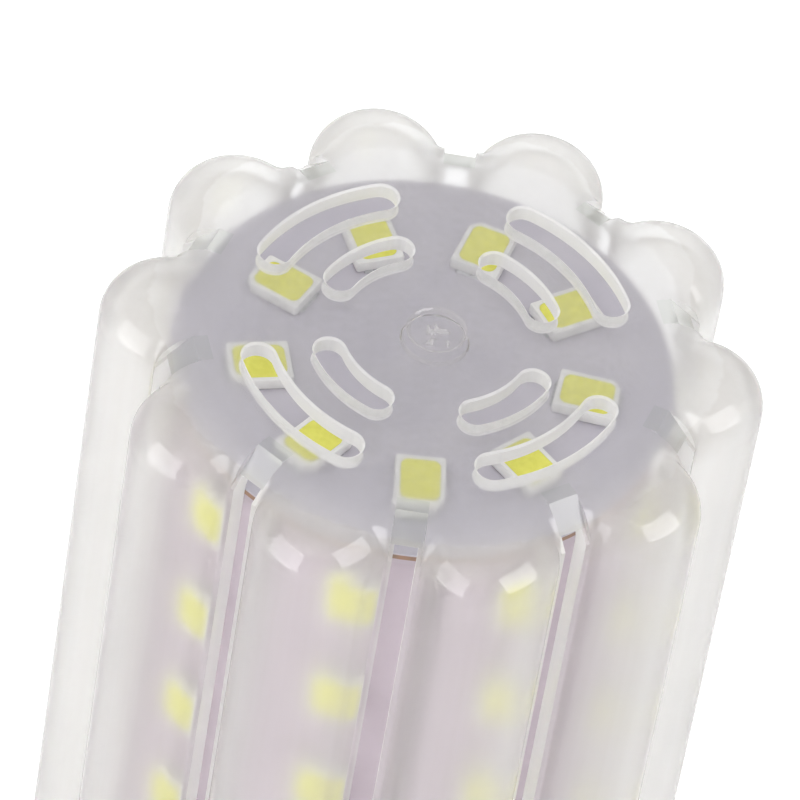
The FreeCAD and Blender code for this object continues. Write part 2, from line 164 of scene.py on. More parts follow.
def ranged(tree, value, low, high, newLow, newHigh):
    # carries the range low to high onto newLow to newHigh, and holds the ends beyond it
    node = tree.nodes.new("ShaderNodeMapRange")
    for socket, number in (("From Min", low), ("From Max", high), ("To Min", newLow), ("To Max", newHigh)):
        node.inputs[socket].default_value = number
    tree.links.new(value, node.inputs["Value"])
    return node.outputs["Result"]


def drift(tree, size, detail, low, high, reach=0.2, stretch=(1.0, 1.0, 1.0)):
    # noise carried onto low to high; it swings by about reach round one half, so a small reach firms patches
    return ranged(tree, noise(tree, size, detail, stretch), 0.5 - reach, 0.5 + reach, low, high)


def combined(tree, operation, first, second):
    node = tree.nodes.new("ShaderNodeMath")
    node.operation = operation
    tree.links.new(first, node.inputs[0])
    tree.links.new(second, node.inputs[1])
    return node.outputs["Value"]


def mixed(tree, share, first, second):
    # second colour laid over the first by its share; a colour is a code or another node's output
    node = tree.nodes.new("ShaderNodeMix")
    node.data_type = "RGBA"
    tree.links.new(share, node.inputs["Factor"])
    for socket, colour in ((6, first), (7, second)):
        if isinstance(colour, str):
            node.inputs[socket].default_value = paint(colour)
        else:
            tree.links.new(colour, node.inputs[socket])
    return node.outputs[2]


def bump(tree, shader, height, depth, under=None):
    # depth is the relief's height in millimetres
    node = tree.nodes.new("ShaderNodeBump")
    node.inputs["Distance"].default_value = depth * mm
    node.inputs["Strength"].default_value = 1.0
    tree.links.new(height, node.inputs["Height"])
    if under:
        tree.links.new(under, node.inputs["Normal"])
    tree.links.new(node.outputs["Normal"], shader.inputs["Normal"])
    return node.outputs["Normal"]


def mottled(name, colour, tint, size, roughness, relief, settings):
    # the plain finish of most pieces: a slow drift between two colours, uneven gloss and a fine relief
    material, tree, shader = startMaterial(name, colour, settings)
    patches = drift(tree, size, 3.0, 0.0, 1.0, 0.15)
    tree.links.new(mixed(tree, patches, colour, tint), shader.inputs["Base Color"])
    tree.links.new(drift(tree, size * 0.4, 2.0, *roughness), shader.inputs["Roughness"])
    reliefSize, reliefDepth = relief
    bump(tree, shader, noise(tree, reliefSize), reliefDepth)
    return material


lacquer, metal, plain = {"Specular IOR Level": 0.4}, {"Metallic": 1.0}, {}

# two colours, size of their patches, roughness from and to, relief's size and depth, other shader values
finishes = {name: mottled(name, *values) for name, values in {
    # boardMask, stripMask and the top board's mask are one solder mask, toned after how light falls on each;
    # the lower board's darker grey is painted shade
    "boardMask": ("#A69DA6", "#A097A2", 4.0, (0.38, 0.5), (0.3, 0.004), lacquer),
    "stripMask": ("#CFC2CC", "#C8BBC5", 4.0, (0.38, 0.5), (0.3, 0.004), lacquer),
    "ledPackage": ("#F3F2F0", "#ECEBE9", 0.8, (0.35, 0.5), (0.2, 0.004), plain),
    "ledPhosphor": ("#F0EE70", "#E8E664", 0.5, (0.3, 0.45), (0.12, 0.006), plain),
    "solderTin": ("#BDBDBF", "#A9A9AD", 0.5, (0.22, 0.42), (0.4, 0.02), metal),
    "whiteHousing": ("#E9E9E7", "#E4E4E2", 12.0, (0.3, 0.42), (0.25, 0.006), plain),
    "nickelShell": ("#CFCDC8", "#BDBAB3", 6.0, (0.18, 0.36), (0.8, 0.006), metal),
    "blackInsulator": ("#15151A", "#1C1B22", 3.0, (0.15, 0.28), (0.8, 0.02), plain),
    "plateContact": ("#CDB57C", "#BCA46C", 2.0, (0.22, 0.4), (0.5, 0.01), metal),
    "greenBoard": ("#235234", "#1D472C", 3.0, (0.3, 0.45), (0.4, 0.01), plain),
    "capacitorSleeve": ("#15171F", "#1B1E28", 3.0, (0.25, 0.35), (1.0, 0.01), plain),
    "filmBox": ("#8E2F1A", "#7E2815", 2.0, (0.22, 0.36), (1.2, 0.03), plain),
    "ferrite": ("#2B2929", "#232222", 1.0, (0.5, 0.7), (0.3, 0.02), plain),
    "chipBlack": ("#141415", "#1B1B1C", 0.6, (0.5, 0.65), (0.15, 0.008), plain),
    "resistorBody": ("#5C8796", "#54808F", 1.0, (0.25, 0.4), (0.6, 0.02), plain),
    "wireRed": ("#A81712", "#98140F", 2.0, (0.3, 0.4), (1.0, 0.01), plain),
    "wireBlack": ("#141414", "#1B1B1B", 2.0, (0.3, 0.4), (1.0, 0.01), plain),
}.items()}

# the top board's mask colour is the mask's own lilac-grey, made greyer as painted shade under the cover
topBoardLook = {
    "mask": ("#CCC8D0", "#C4C0CA"), "laminate": ("#A98670", "#957C6C"), "under": "#C7BBC5",
    "edgeLow": 114.5, "edgeHigh": 114.85,
}


def topBoardMask(look):
    # a masked board whose cut edge shows bare laminate between two heights, and paler mask below them
    material, tree, shader = startMaterial("topBoardMask", look["mask"][0], lacquer)
    mask = mixed(tree, drift(tree, 4.0, 3.0, 0.0, 1.0, 0.15), *look["mask"])
    laminate = mixed(tree, drift(tree, 0.9, 2.0, 0.0, 1.0, 0.1), *look["laminate"])
    low, high = look["edgeLow"], look["edgeHigh"]
    above = ranged(tree, heightAbove(tree), low * mm, (low + 0.03) * mm, 0.0, 1.0)
    below = ranged(tree, heightAbove(tree), (high - 0.03) * mm, (high - 0.01) * mm, 1.0, 0.0)
    edge = mixed(tree, below, mask, laminate)
    tree.links.new(mixed(tree, above, look["under"], edge), shader.inputs["Base Color"])
    tree.links.new(drift(tree, 1.6, 2.0, 0.38, 0.5), shader.inputs["Roughness"])
    bump(tree, shader, noise(tree, 0.3), 0.004)
    return material


finishes["topBoardMask"] = topBoardMask(topBoardLook)


# Clear cover

coverSpec = {
    "top": 118.0, "wallLow": 50.0, "rim": 48.5, "spigotLow": 45.0,
    "lobes": 10, "lobeCentre": 14.48, "lobe": 3.8, "valley": 15.3, "corner": 0.15,
    "wall": 1.0, "plate": 1.1, "edge": 2.6, "chamferRadius": 13.4, "chamferHeight": 2.1, "plateBand": 0.15,
    "flange": 19.4, "flangeRound": 0.25, "spigot": 18.15, "spigotBore": 17.17, "bead": 0.3, "beadZ": 46.6,
    "slitWidth": 1.3, "slitLow": 54.0, "slitHigh": 116.6, "flatEdge": 0.02,
    "slotAngles": (45.0, 135.0, 225.0, 315.0), "slotSpan": 54.0,
    "slotRadii": ((9.2, 11.0), (5.35, 7.03)), "slotChamfer": 0.12,
    "lobeSteps": 26, "cornerSteps": 7, "edgeSteps": 14, "slitSteps": 6, "wallRows": 9, "milkRise": 4.0,
}
markSpec = {
    "radius": 1.6, "depth": 0.15, "under": 1.9, "underDepth": 0.22, "hole": 1.92,
    "ringSteps": 64, "innerRings": 26,
    "rimShares": (1.06, 1.03, 1.0, 0.97, 0.94), "rimSink": (0.0, 0.15, 0.5, 0.85, 1.0),
    "seed": 7, "strokes": 11, "strokeSpread": 0.5, "strokeHeight": 0.09, "strokeWidth": 0.12,
    "strokeLength": (0.15, 0.45), "strokeSides": (-0.6, 1.0), "strokeReach": 0.8,
}
# share of milk in the faces of each region of the cover
milkiness = {
    "facet": 0.02, "plate": 0.035, "wall": 0.06, "cut": 0.85, "slitCut": 0.45, "slitEnd": 0.2,
    "gate": 0.05, "gateRim": 0.2, "stroke": 0.3,
}
coverLook = {
    "wave": 3.2, "waveDepth": 0.01, "grain": 0.2, "grainDepth": 0.002, "grainPatch": 6.0, "grainStart": 8.5,
    "middleRadius": 9.0, "rimRadius": 14.8, "middleRough": 0.18, "rimRough": 0.5, "dither": 1.5,
    # plate is a grey tint, painted shade on the board seen under the plate; facet is a grey-green tint, a
    # painted reflection
    "plate": "#EFEFF0", "wall": "#FBFBFA", "facet": "#DDE1DD", "plateEnd": 13.5,
    # cutMilk is painted light: the cut faces' milk is whiter so that they look lit
    "milk": "#DFDAD4", "bandMilk": "#D9D5D0", "cutMilk": "#FAF9F8", "through": 0.35, "grazing": 2.1,
    "line": 0.4, "lineStretch": 0.012, "lineShare": 0.03,
    "slope": 0.93, "coneDepth": 10.0, "wobble": 1.3, "wobbleReach": 0.2,
    "bandStart": 15.5, "bandFull": 15.7, "bandFade": 17.4, "bandEnd": 19.0, "bandShare": 0.25,
}


def clearCover(look, shares):
    # Clear plastic with a little milk in it: each face's share of milk mixes a clear shader with a white one
    # that sends light back and lets light through. The share grows where the surface turns away, as the way
    # through the wall does, and fine upright draw lines vary it. A milkier band lies on the rolled edge: it
    # starts where radius plus slope times the depth below the plate passes bandStart, and fades out below.
    # The plate's grey tint is painted shade on the board seen under it; the valleys' small flats get a
    # grey-green tint, a painted reflection of dim surroundings; cut faces are milkier, and their whiter milk
    # is painted light.
    # Mould waves and satin grain give relief. Roughness grows with the radius, dithered by fine grains.
    material, tree, shader = startMaterial("clearCover", look["wall"], {
        "IOR": 1.14, "Transmission Weight": 1.0, "Coat Weight": 0.8, "Coat IOR": 1.6, "Coat Roughness": 0.035,
    })
    attribute = tree.nodes.new("ShaderNodeAttribute")
    attribute.attribute_name = "milk"
    faceShare = attribute.outputs["Fac"]
    length = tree.nodes.new("ShaderNodeVectorMath")
    length.operation = "LENGTH"
    tree.links.new(objectPlace(tree, (1.0, 1.0, 0.0)), length.inputs[0])
    radius = length.outputs["Value"]

    def between(value, low, high, newLow, newHigh):
        return ranged(tree, value, look[low] * mm, look[high] * mm, newLow, newHigh)

    # painted reflection: the valleys' flats, found by their low milk share, take a grey-green tint
    onFacet = ranged(tree, faceShare, shares["facet"], shares["plate"], 1.0, 0.0)
    # painted shade: the plate's grey tint, turning to the wall's tint from plateEnd to rimRadius, darkens what
    # is seen under the plate
    tint = mixed(tree, between(radius, "plateEnd", "rimRadius", 0.0, 1.0), look["plate"], look["wall"])
    tree.links.new(mixed(tree, onFacet, tint, look["facet"]), shader.inputs["Base Color"])

    dust = tree.nodes.new("ShaderNodeTexWhiteNoise")
    tree.links.new(objectPlace(tree), dust.inputs["Vector"])
    shift = ranged(tree, dust.outputs["Value"], 0.0, 1.0, -look["dither"] * mm, look["dither"] * mm)
    dithered = combined(tree, "ADD", radius, shift)
    roughness = between(dithered, "middleRadius", "rimRadius", look["middleRough"], look["rimRough"])
    tree.links.new(roughness, shader.inputs["Roughness"])

    wave = bump(tree, shader, noise(tree, look["wave"], 1.0), look["waveDepth"])
    patches = ranged(tree, noise(tree, look["grainPatch"], 1.0), 0.45, 0.65, 0.0, 1.0)
    patches = combined(tree, "MULTIPLY", patches, between(radius, "grainStart", "rimRadius", 0.0, 1.0))
    grain = combined(tree, "MULTIPLY", noise(tree, look["grain"]), patches)
    bump(tree, shader, grain, look["grainDepth"], under=wave)

    lines = drift(tree, look["line"], 3.0, -look["lineShare"], look["lineShare"],
                  stretch=(1.0, 1.0, look["lineStretch"]))
    turnedAway = tree.nodes.new("ShaderNodeLayerWeight")
    turnedAway.inputs["Blend"].default_value = 0.5
    thicker = ranged(tree, turnedAway.outputs["Facing"], 0.3, 1.0, 1.0, look["grazing"])
    wallShare = combined(tree, "MULTIPLY", combined(tree, "ADD", faceShare, lines), thicker)

    top, depth, reach = coverSpec["top"], look["coneDepth"], look["wobbleReach"]
    below = ranged(tree, heightAbove(tree), (top - depth) * mm, top * mm, look["slope"] * depth * mm, 0.0)
    wobble = drift(tree, look["wobble"], 4.0, -reach * mm, reach * mm)
    cone = combined(tree, "ADD", combined(tree, "ADD", radius, below), wobble)
    band = combined(tree, "MULTIPLY", between(cone, "bandStart", "bandFull", 0.0, look["bandShare"]),
                    between(cone, "bandFade", "bandEnd", 1.0, 0.0))
    share = combined(tree, "ADD", wallShare, band)

    milk = mixed(tree, ranged(tree, band, 0.0, look["bandShare"], 0.0, 1.0), look["milk"], look["bandMilk"])
    # painted light: where the milk share is high, as on the cut faces, the milk turns whiter, standing in for
    # light falling on them
    onCut = ranged(tree, faceShare, shares["slitEnd"], shares["slitCut"], 0.0, 1.0)
    milk = mixed(tree, onCut, milk, look["cutMilk"])
    back, through = tree.nodes.new("ShaderNodeBsdfDiffuse"), tree.nodes.new("ShaderNodeBsdfTranslucent")
    white, whole = tree.nodes.new("ShaderNodeMixShader"), tree.nodes.new("ShaderNodeMixShader")
    white.inputs[0].default_value = look["through"]
    tree.links.new(share, whole.inputs[0])
    for source, mix, socket in ((back, white, 1), (through, white, 2), (shader, whole, 1), (white, whole, 2)):
        tree.links.new(source.outputs[0], mix.inputs[socket])
    for source in (back, through):
        tree.links.new(milk, source.inputs["Color"])
    output = next(node for node in tree.nodes if node.type == "OUTPUT_MATERIAL")
    tree.links.new(whole.outputs[0], output.inputs["Surface"])
    return material


finishes["clearCover"] = clearCover(coverLook, milkiness)


def coverOutline(c):
    # Plan of the cover as base points and inward directions; base + inset * inward is the plan moved in.
    # From a lobe's crest: the lobe's arc, the corner's arc turning the other way, then the flat to the slit.
    # The last two points of each side are on the flat, whose edge at the plate is bevelled and not rounded.
    half = math.pi / c["lobes"]
    across, along = c["lobeCentre"] * math.cos(half), c["lobeCentre"] * math.sin(half)
    reach = math.sqrt((c["lobe"] + c["corner"]) ** 2 - (c["valley"] + c["corner"] - across) ** 2)
    flat = along - reach
    outward = np.exp(1j * half)
    centre = outward * (c["valley"] + c["corner"] - 1j * flat)
    swing = np.angle(centre - c["lobeCentre"])
    lobeTurn = np.exp(1j * np.linspace(0.0, swing, c["lobeSteps"]))
    cornerTurn = np.exp(1j * np.linspace(np.pi + swing, np.pi + half, c["cornerSteps"]))[1:]
    flatAlong = np.array([flat - c["flatEdge"], c["slitWidth"] / 2.0])
    base = np.concatenate([c["lobeCentre"] + c["lobe"] * lobeTurn, centre + c["corner"] * cornerTurn,
                           outward * (c["valley"] - 1j * flatAlong)])
    inward = np.concatenate([-lobeTurn, cornerTurn, np.full(len(flatAlong), -outward)])
    base = np.concatenate([np.conj(base[:0:-1]), base])
    inward = np.concatenate([np.conj(inward[:0:-1]), inward])
    onFlat = np.arange(len(base)) >= len(base) - len(flatAlong)
    onFlat |= onFlat[::-1]
    turns = np.exp(2j * half * np.arange(c["lobes"]))[:, None]
    return (base * turns).ravel(), (inward * turns).ravel(), np.tile(onFlat, c["lobes"]), len(base)


def slotLoop(radii, middleAngle, span, grow, steps=40):
    # outline of an arc slot with round ends, made wider all round by grow
    inner, outer = radii
    middle, end = (inner + outer) / 2.0, (outer - inner) / 2.0
    half = math.radians(span) / 2.0 - end / middle
    centreLine = math.radians(middleAngle)
    sweep = np.linspace(-half, half, steps)
    cap = np.linspace(0, np.pi, 15)[1:-1]
    outside = (outer + grow) * np.exp(1j * sweep)
    lastCap = middle * np.exp(1j * half) + (end + grow) * np.exp(1j * (half + cap))
    inside = (inner - grow) * np.exp(1j * sweep[::-1])
    firstCap = middle * np.exp(-1j * half) + (end + grow) * np.exp(1j * (-half + np.pi + cap))
    return np.concatenate([outside, lastCap, inside, firstCap]) * np.exp(1j * centreLine)


def insideLoop(points, loop):
    # even-odd rule: a point is inside when a ray to the right crosses the loop an odd number of times
    a, b = loop[:, None], np.roll(loop, -1)[:, None]
    crosses = (a.imag > points.imag) != (b.imag > points.imag)
    rise = np.where(b.imag == a.imag, 1.0, b.imag - a.imag)
    at = a.real + (points.imag - a.imag) * (b.real - a.real) / rise
    return (crosses & (points.real < at)).sum(0) % 2 == 1


def plateTriangles(outline, holes):
    # flat plate between its outline and its holes, as a triangulation that keeps every loop's edges
    loops = [outline] + holes
    starts = np.cumsum([0] + [len(loop) for loop in loops])
    plan = np.concatenate(loops)
    edges = [np.stack([np.arange(len(loop)), np.roll(np.arange(len(loop)), -1)], -1) + start
             for start, loop in zip(starts, loops)]
    flat = [Vector(pair) for pair in np.stack([plan.real, plan.imag], -1).tolist()]
    _, _, faces, origins, _, _ = delaunay_2d_cdt(flat, np.concatenate(edges).tolist(), [], 0, 1e-5)
    source = np.array([first[0] for first in origins])
    corners = source[np.array(faces)]
    middles = plan[corners].mean(1)
    keep = insideLoop(middles, outline)
    for hole in holes:
        keep &= ~insideLoop(middles, hole)
    return corners[keep]


def gateMark(m, top, innerTop):
    # Gate mark: a shallow round recess with short torn strokes inside, and a wider one in the lower face.
    # A stroke's height falls with the square of the distance d from its segment: exp(-(d / width)^2).
    ring = np.exp(2j * np.pi * np.arange(m["ringSteps"]) / m["ringSteps"])
    rim = np.array(m["rimShares"])
    shares = np.concatenate([rim, np.linspace(0.88, 0.001, m["innerRings"])])
    radii = np.concatenate([[m["hole"]], m["radius"] * shares])[:, None]
    sink = m["depth"] * np.interp(radii, rim[::-1] * m["radius"], m["rimSink"][::-1])
    spot = radii * ring
    random = np.random.default_rng(m["seed"])
    count = m["strokes"]
    middles = (random.normal(0.0, 1.0, count) + 1j * random.normal(0.0, 1.0, count)) * m["strokeSpread"]
    heading = np.exp(1j * random.uniform(0.0, np.pi, count))
    half = random.uniform(*m["strokeLength"], count)
    side = random.choice(m["strokeSides"], count)
    local = (spot[:, :, None] - middles) / heading
    away = np.hypot(np.maximum(np.abs(local.real) - half, 0.0), local.imag)
    strokes = (side * np.exp(-(away / m["strokeWidth"]) ** 2)).sum(-1)
    strokes = strokes * (radii < m["strokeReach"] * m["radius"])
    mark = spread(spot, top - sink + m["strokeHeight"] * strokes)
    strength = np.clip(strokes, 0.0, 1.0)
    strength = 0.5 * (strength[:-1] + strength[1:])
    onRim = np.abs(radii[:-1] - m["radius"]) < 0.07 * m["radius"]
    markMilk = milkiness["gate"] + onRim * (milkiness["gateRim"] - milkiness["gate"])
    markMilk = (markMilk + milkiness["stroke"] * strength).ravel()

    slope = [m["hole"], m["under"], m["under"] - 0.08, m["under"] - 0.16]
    underRadii = np.array(slope + [1.2, 0.6, 0.001])[:, None]
    rise = m["underDepth"] * np.array([0.0, 0.15, 0.85, 1.0, 1.0, 1.0, 1.0])[:, None]
    under = spread(underRadii * ring, innerTop + np.broadcast_to(rise, (len(rise), len(ring))))
    underMilk = np.repeat([milkiness["gateRim"]] * 3 + [milkiness["plate"]] * 3, len(ring))
    return ((mark, gridFaces(len(radii), len(ring)), markMilk),
            (under, gridFaces(len(underRadii), len(ring)), underMilk))


def buildCover(c, m):
    # One closed skin: rows of the same plan from the plate's edge over the rounding, down outside, round the
    # flange, up inside and over the inner rounding; then the plate's two faces, the slots and the slits.
    base, inward, onFlat, perLobe = coverOutline(c)
    count = len(base)
    aroundAxis = base / np.abs(base)
    top, edge, wall = c["top"], c["edge"], c["wall"]
    innerEdge, innerTop = edge - wall, top - c["plate"]
    plateInset = edge + c["plateBand"]

    def lobed(insets, heights):
        return [(base + inset * inward, z) for inset, z in zip(insets, heights)]

    def rounding(radius, high, startInset, low, upper, steps):
        # arc of the rounded edge between two angles above the horizontal
        angle = np.linspace(low, upper, steps)
        return lobed(startInset + radius * (1 - np.cos(angle)), high - radius + radius * np.sin(angle))

    def wholeRounding(radius, high, startInset):
        # the arc in two parts, so that a row of points lies at the slit's upper end
        slit = math.asin((c["slitHigh"] - high + radius) / radius)
        return (rounding(radius, high, startInset, math.pi / 2.0, slit, c["edgeSteps"])
                + rounding(radius, high, startInset, slit, 0.0, c["slitSteps"])[1:])

    outer = wholeRounding(edge, top, 0.0)
    slitStart = c["edgeSteps"]

    # over the flats the same rows follow the plate, then a straight bevel, then the wall
    run = c["valley"] - c["chamferRadius"]
    bevelInset = run - run / c["chamferHeight"] * (top - c["slitHigh"])
    flatInsets = np.concatenate([np.linspace(edge, run, 5), np.linspace(run, bevelInset, 10)[1:],
                                 np.linspace(bevelInset, 0.0, 5)[1:], [0.0]])
    flatHeights = top - c["chamferHeight"] * np.clip(1.0 - flatInsets / run, 0.0, 1.0)
    flatHeights[-1] = top - edge
    outer = [(np.where(onFlat, base + flatInset * inward, plan), np.where(onFlat, flatZ, z))
             for (plan, z), flatInset, flatZ in zip(outer, flatInsets, flatHeights)]
    wallHeights = np.linspace(top - edge, c["slitLow"], c["wallRows"])[1:]
    outer += lobed([0.0] * len(wallHeights), wallHeights)
    slitEnd = len(outer)
    outer += lobed([0.0], [c["wallLow"]])

    curve, bead, beadZ = c["flangeRound"], c["bead"], c["beadZ"]
    flange = [(c["flange"] - curve, c["wallLow"]), (c["flange"] - 0.3 * curve, c["wallLow"] - 0.3 * curve),
              (c["flange"], c["wallLow"] - curve), (c["flange"], c["rim"]), (c["spigot"], c["rim"]),
              (c["spigot"], beadZ + 2 * bead), (c["spigot"] + bead, beadZ), (c["spigot"], beadZ - 2 * bead),
              (c["spigot"], c["spigotLow"] + bead), (c["spigot"] - bead, c["spigotLow"]),
              (c["spigotBore"], c["spigotLow"]), (c["spigotBore"], c["rim"])]
    middle = [(radius * aroundAxis, z) for radius, z in flange]
    innerHeights = np.linspace(innerTop - innerEdge, c["slitLow"], c["wallRows"])[1:]
    inner = wholeRounding(innerEdge, innerTop, wall)
    inner += lobed([wall] * len(innerHeights), innerHeights)
    inner += lobed([wall], [c["rim"]])
    rows = lobed([plateInset], [top]) + outer + middle + inner[::-1] + lobed([plateInset], [innerTop])
    points = np.concatenate([spread(plan, z) for plan, z in rows])
    faces = gridFaces(len(rows), count)
    rowHeights = np.array([np.max(z) for _, z in rows])
    rowShare = np.clip(c["milkRise"] * (top - rowHeights) / edge, 0, 1)
    rowMilk = milkiness["plate"] + (milkiness["wall"] - milkiness["plate"]) * rowShare

    # the slit columns lie between the last point of one lobe's share and the first of the next
    left = np.arange(1, c["lobes"] + 1) * perLobe - 1
    right = (left + 1) % count
    firstInner, lastInner = len(rows) - 1 - slitStart, len(rows) - 1 - slitEnd
    bandRow, bandColumn = np.divmod(np.arange(len(faces)), count)
    inSlit = (bandRow >= slitStart) & (bandRow < slitEnd) | (bandRow >= lastInner) & (bandRow < firstInner)
    kept = ~(inSlit & np.isin(bandColumn, left))
    steps = np.arange(slitEnd - slitStart)[:, None]
    onFacet = onFlat[bandColumn] & onFlat[(bandColumn + 1) % count] & (bandRow < slitStart)
    skinMilk = np.where(onFacet, milkiness["facet"], 0.5 * (rowMilk[bandRow] + rowMilk[bandRow + 1]))
    blocks, milk = [faces[kept]], [skinMilk[kept]]
    for column in (left, right):
        outside = (slitStart + steps) * count + column
        inside = (firstInner - steps) * count + column
        blocks.append(np.stack([outside, outside + count, inside - count, inside], -1).reshape(-1, 4))
        milk.append(milkiness["slitCut"])
    for outerRow, innerRow in ((slitStart, firstInner), (slitEnd, lastInner)):
        blocks.append(np.stack([outerRow * count + left, outerRow * count + right,
                                innerRow * count + right, innerRow * count + left], -1))
        milk.append(milkiness["slitEnd"])

    # plate: its upper and lower face share one triangulation, with the slots as holes
    chamfer = c["slotChamfer"]
    slots = [(radii, angle) for radii in c["slotRadii"] for angle in c["slotAngles"]]
    wide = [slotLoop(radii, angle, c["slotSpan"], chamfer) for radii, angle in slots]
    true = [slotLoop(radii, angle, c["slotSpan"], 0.0) for radii, angle in slots]
    ring = np.exp(2j * np.pi * np.arange(m["ringSteps"]) / m["ringSteps"])
    holes = wide + [m["hole"] * ring]
    plateOutline = base + plateInset * inward
    triangles = plateTriangles(plateOutline, holes)
    plan = np.concatenate([plateOutline] + holes)
    levels = [(wide, top), (true, top - chamfer), (true, innerTop + chamfer), (wide, innerTop)]
    extras = [(spread(plan, z), triangles, milkiness["plate"]) for z in (top, innerTop)]
    extras += [(np.concatenate([spread(loops[index], z) for loops, z in levels]),
                gridFaces(len(levels), len(wide[index])), milkiness["cut"]) for index in range(len(slots))]
    extras += gateMark(m, top, innerTop)
    for extraPoints, extraFaces, extraMilk in extras:
        blocks.append(extraFaces + len(points))
        milk.append(extraMilk)
        points = np.concatenate([points, extraPoints])
    return points, blocks, milk


coverPoints, coverFaces, coverMilk = buildCover(coverSpec, markSpec)
putMesh("clearLobedCover", coverPoints, coverFaces, finishes["clearCover"], "clear_cover", 40.0,
        ("lens_cover",), coverMilk)


# LEDs

columnSpec = {
    "strips": 9, "firstStrip": 21.0, "face": 13.1, "offsetX": -0.4,
    "rows": 8, "pitch": 7.92, "firstRow": 110.5, "belowRows": 4.65,
    "boardTop": 114.95, "topRing": 9.1, "firstTop": 34.3,
}
ledSpec = {
    "length": 3.5, "width": 2.8, "height": 0.7, "foot": 0.06, "footInset": 0.03, "waist": 0.3, "taper": 0.02,
    "corner": 0.16, "notch": 0.5, "chamfer": 0.07, "hub": 0.05, "hubCorner": 0.04, "steps": 7,
    "windowLength": 2.9, "windowWidth": 2.2, "windowCorner": 0.45, "windowDepth": 0.2, "windowSlope": 0.08,
    "resinGap": 0.02, "domeShares": (0.93, 1.0, 0.9, 0.6, 0.3, 0.05),
    "domeDrops": (0.18, 0.02, 0.045, 0.06, 0.065, 0.065),
    "leadLength": 0.3, "leadWidth": 1.9, "leadHeight": 0.12, "leadFoot": 0.03, "leadCorner": 0.1,
    "leadInset": 0.08,
}


def packageLoop(halfLong, halfWide, corner, notch, steps):
    # rectangle with rounded corners; the corner at plus x and plus y is cut off more, as the mark of polarity
    turn = np.exp(1j * np.linspace(0, np.pi / 2, steps))
    cuts = [(1, 1, notch), (-1, 1, corner), (-1, -1, corner), (1, -1, corner)]
    parts = []
    for index, (sx, sy, cut) in enumerate(cuts):
        centre = complex(sx * (halfLong - cut), sy * (halfWide - cut))
        if cut == notch and notch > corner:
            t = np.linspace(0, 1, steps)
            parts.append(centre + cut * (1 - t) + 1j * cut * t)
        else:
            parts.append(centre + cut * turn * 1j ** index)
    return np.concatenate(parts)


def stacked(rings):
    # rings of as many points each, one above another, joined by quads and closed at both ends
    count = len(rings[0][0])
    points = np.concatenate([spread(loop, z) for loop, z in rings])
    lids = np.stack([np.arange(count)[::-1], np.arange(len(points) - count, len(points))])
    return points, [gridFaces(len(rings), count), lids]


def ledTemplates(s):
    # an LED on z = 0 facing +z: the package from its foot over the rim into the window, the resin, the solder
    long, wide, steps = s["length"] / 2, s["width"] / 2, s["steps"]
    top, floor = s["height"], s["height"] - s["windowDepth"]

    def body(inset):
        return packageLoop(long - inset, wide - inset, s["corner"], s["notch"], steps)

    def window(inset):
        return packageLoop(s["windowLength"] / 2 - inset, s["windowWidth"] / 2 - inset,
                           s["windowCorner"], s["windowCorner"], steps)

    def lead(inset, corner, away):
        return packageLoop(s["leadLength"] / 2 - inset, s["leadWidth"] / 2 - inset, corner, corner, 3) + away

    hub = packageLoop(s["hub"], s["hub"], s["hubCorner"], s["hubCorner"], steps)
    package = stacked([
        (hub, s["foot"]), (body(s["footInset"]), s["foot"]), (body(0.0), s["waist"] * top),
        (body(s["taper"]), top - s["chamfer"]), (body(s["chamfer"]), top),
        (window(0.0), top), (window(s["windowSlope"]), floor), (hub, floor)])
    dome = window(s["resinGap"])
    resin = stacked([(dome * share, top - drop) for share, drop in zip(s["domeShares"], s["domeDrops"])])
    points, blocks = [], []
    for side in (-1.0, 1.0):
        foot = lead(0.0, s["leadCorner"], side * (long - 0.02))
        small = lead(s["leadInset"], 0.08, side * (long - 0.05))
        leadPoints, leadFaces = stacked([(foot, 0.0), (foot, s["leadFoot"]), (small, s["leadHeight"])])
        blocks += [block + len(points) * len(leadPoints) for block in leadFaces]
        points.append(leadPoints)
    return package, resin, (np.concatenate(points), blocks)


def aroundAxisAt(angle):
    # outward, sideways and upward unit vectors at each angle
    zero, one = np.zeros_like(angle), np.ones_like(angle)
    return (np.stack([np.cos(angle), np.sin(angle), zero], -1),
            np.stack([-np.sin(angle), np.cos(angle), zero], -1), np.stack([zero, zero, one], -1))


def ledPlaces(c):
    # 3 by 4 placements: the strips' LEDs stand upright, facing outwards; the top ring's lie flat, pointing out
    heights = c["firstRow"] - c["pitch"] * np.arange(c["rows"])
    fan = 360.0 / c["strips"] * np.arange(c["strips"])
    aside = np.array([c["offsetX"], 0, 0])
    grids = np.meshgrid(np.radians(c["firstStrip"] + fan), heights, indexing="ij")
    angle, height = grids[0].ravel(), grids[1].ravel()
    out, side, up = aroundAxisAt(angle)
    strip = np.stack([up, -side, out, out * c["face"] + up * height[:, None] + aside], -1)
    out, side, up = aroundAxisAt(np.radians(c["firstTop"] + fan))
    return strip, np.stack([out, side, up, out * c["topRing"] + up * c["boardTop"] + aside], -1)


def repeated(template, places):
    # the template's points and faces once for each placement
    points, blocks = template
    placed = np.einsum("nij,pj->npi", places[:, :, :3], points) + places[:, None, :, 3]
    offsets = (np.arange(len(places)) * len(points))[:, None, None]
    return placed.reshape(-1, 3), [(block[None] + offsets).reshape(-1, block.shape[-1]) for block in blocks]


